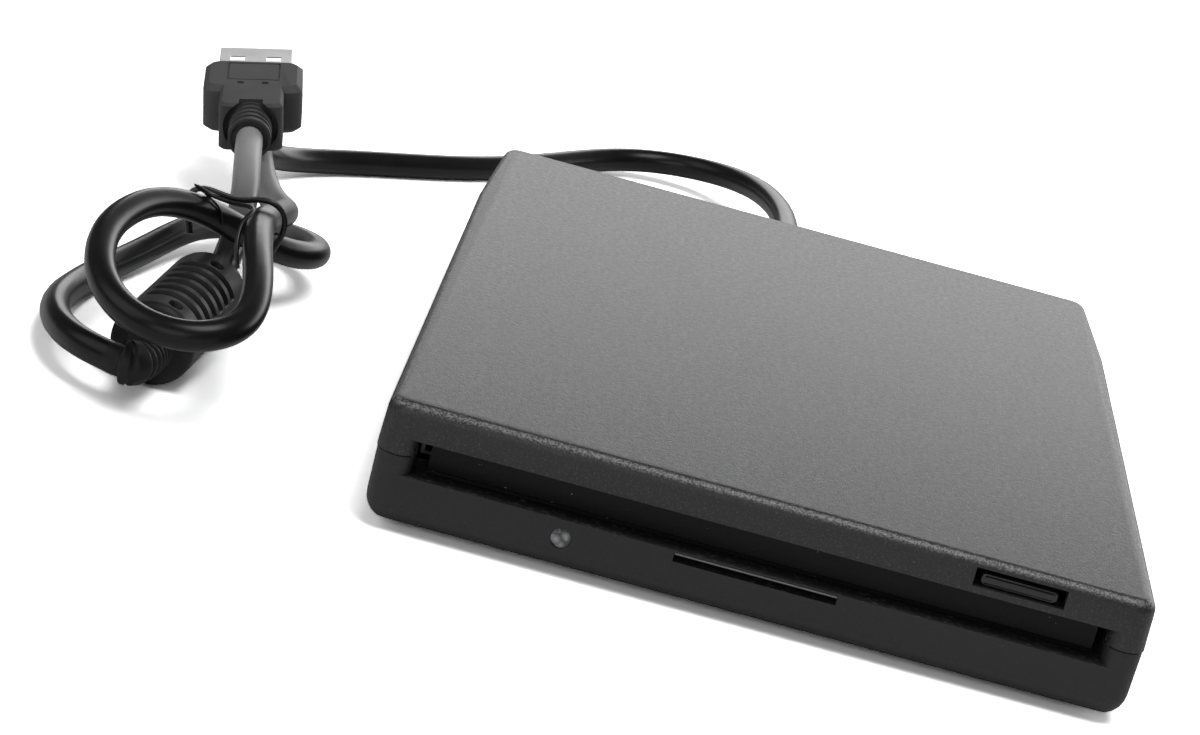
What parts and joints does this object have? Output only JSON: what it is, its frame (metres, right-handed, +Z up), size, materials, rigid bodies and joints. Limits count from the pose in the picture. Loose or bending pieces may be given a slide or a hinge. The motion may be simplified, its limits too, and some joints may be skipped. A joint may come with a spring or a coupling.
{
  "type": "external floppy disk drive",
  "caption": "Flat slim external drive for 3.5 inch disks: two-part plastic case with a sprung slot door, eject button and lamp, full mechanism inside and a captive tied USB cord.",
  "frame": {"origin": "on the surface it stands on, under the middle of the case", "axes": "+X to the right seen from the slot side, +Y from the slot to the cord at the rear, +Z up"},
  "size_m": [0.1564, 0.2161, 0.0229],
  "materials": {
    "top_plastic": "fine spark-eroded grain",
    "base_plastic": "fine spark-eroded grain",
    "door_plastic": "satin",
    "button_plastic": "gloss",
    "lens_plastic": "milky, clear",
    "rubber_black": "matte",
    "cord_vinyl": "semi-gloss",
    "grip_vinyl": "satin",
    "tie_plastic": "satin",
    "plug_steel": "bright",
    "contact_gold": "bright",
    "white_plastic": "satin",
    "sheet_steel": "zinc plated",
    "bright_steel": "ground",
    "spring_steel": "satin",
    "screw_steel": "black oxide",
    "board_green": "solder mask",
    "chip_black": "matte",
    "copper_wire": "enamelled",
    "bronze": "sintered",
    "carriage_plastic": "satin",
    "head_ceramic": "polished",
    "cable_grey": "satin"
  },
  "bodies": {
    "case": {"bottom_cover": "base_plastic", "top_cover": "top_plastic", "rubber_feet": "rubber_black", "case_screws": "screw_steel", "door_spring": "spring_steel", "led_lens": "lens_plastic", "led_lamp": "lens_plastic", "interface_board": "board_green", "interface_chips": "chip_black", "crystal": "bright_steel", "capacitors": "spring_steel", "ribbon_sockets": "white_plastic", "flat_cable": "cable_grey", "inner_leads": "cable_grey", "strain_relief": "rubber_black", "cord_lead": "cord_vinyl", "cord_bundle": "cord_vinyl", "cord_end": "cord_vinyl", "ferrite_sleeve": "grip_vinyl", "sleeve_relief": "grip_vinyl", "plug_grip": "grip_vinyl", "plug_shell": "plug_steel", "plug_tongue": "white_plastic", "plug_contacts": "contact_gold", "twist_tie": "tie_plastic", "chassis": "sheet_steel", "chassis_screws": "screw_steel", "shield_plate": "sheet_steel", "eject_springs": "spring_steel", "spindle_bearing": "bronze", "stator_coils": "copper_wire", "stepper_motor": "sheet_steel", "screw_bearing": "white_plastic", "guide_rod": "bright_steel", "rod_clamps": "sheet_steel", "main_board": "board_green", "board_chips": "chip_black", "sensor_switches": "chip_black", "track_sensor": "chip_black"},
    "door": {"disk_door": "door_plastic"},
    "ejector": {"eject_button": "button_plastic", "slider_plate": "sheet_steel"},
    "carrier": {"disk_carrier": "sheet_steel", "shutter_pivot": "bright_steel"},
    "shutter_arm": {"shutter_lever": "spring_steel"},
    "head_slide": {"head_carriage": "carriage_plastic", "lower_head": "head_ceramic", "arm_pivot": "bright_steel"},
    "head_arm": {"upper_arm": "sheet_steel", "upper_head": "head_ceramic"},
    "screw": {"lead_screw": "bright_steel"},
    "spindle": {"spindle_rotor": "sheet_steel", "spindle_shaft": "bright_steel", "chucking_pin": "bright_steel"},
    "disk_sensor": {"disk_plunger": "white_plastic"},
    "protect_sensor": {"protect_plunger": "white_plastic"},
    "density_sensor": {"density_plunger": "white_plastic"}
  },
  "joints": [
    {"name": "door_hinge", "type": "hinge", "parent": "case", "child": "door", "pos_m": [0, -0.06715, 0.0136], "axis": [1, 0, 0], "range_deg": [0, 85], "stiffness_Nm_per_rad": 0.0008},
    {"name": "eject_slide", "type": "slide", "parent": "case", "child": "ejector", "axis": [0, -1, 0], "range_m": [0, 0.0035]},
    {"name": "carrier_drop", "type": "slide", "parent": "case", "child": "carrier", "axis": [0, 0, -1], "range_m": [0, 0.0016]},
    {"name": "shutter_swing", "type": "hinge", "parent": "carrier", "child": "shutter_arm", "pos_m": [-0.043, 0.024, 0.0137], "axis": [0, 0, 1], "range_deg": [0, 42], "stiffness_Nm_per_rad": 0.001},
    {"name": "head_travel", "type": "slide", "parent": "case", "child": "head_slide", "axis": [0, -1, 0], "range_m": [0, 0.0148]},
    {"name": "head_close", "type": "hinge", "parent": "head_slide", "child": "head_arm", "pos_m": [0, 0.0441, 0.0128], "axis": [1, 0, 0], "range_deg": [0, 8.5]},
    {"name": "screw_turn", "type": "hinge", "parent": "case", "child": "screw", "pos_m": [0.017, 0.02, 0.00585], "axis": [0, 1, 0], "continuous": true},
    {"name": "spindle_turn", "type": "hinge", "parent": "case", "child": "spindle", "pos_m": [0, -0.019, 0.006], "axis": [0, 0, 1], "continuous": true},
    {"name": "disk_sensor_press", "type": "slide", "parent": "case", "child": "disk_sensor", "axis": [0, 0, -1], "range_m": [0, 0.0008], "stiffness_N_per_m": 20},
    {"name": "protect_sensor_press", "type": "slide", "parent": "case", "child": "protect_sensor", "axis": [0, 0, -1], "range_m": [0, 0.0008], "stiffness_N_per_m": 20},
    {"name": "density_sensor_press", "type": "slide", "parent": "case", "child": "density_sensor", "axis": [0, 0, -1], "range_m": [0, 0.0008], "stiffness_N_per_m": 20}
  ],
  "couplings": [
    {"joint": "carrier_drop", "follows": "eject_slide", "ratio": 0.45714},
    {"joint": "head_close", "follows": "eject_slide", "rad_per_m": 42.386},
    {"joint": "screw_turn", "follows": "head_travel", "rad_per_m": 1675.5}
  ]
}
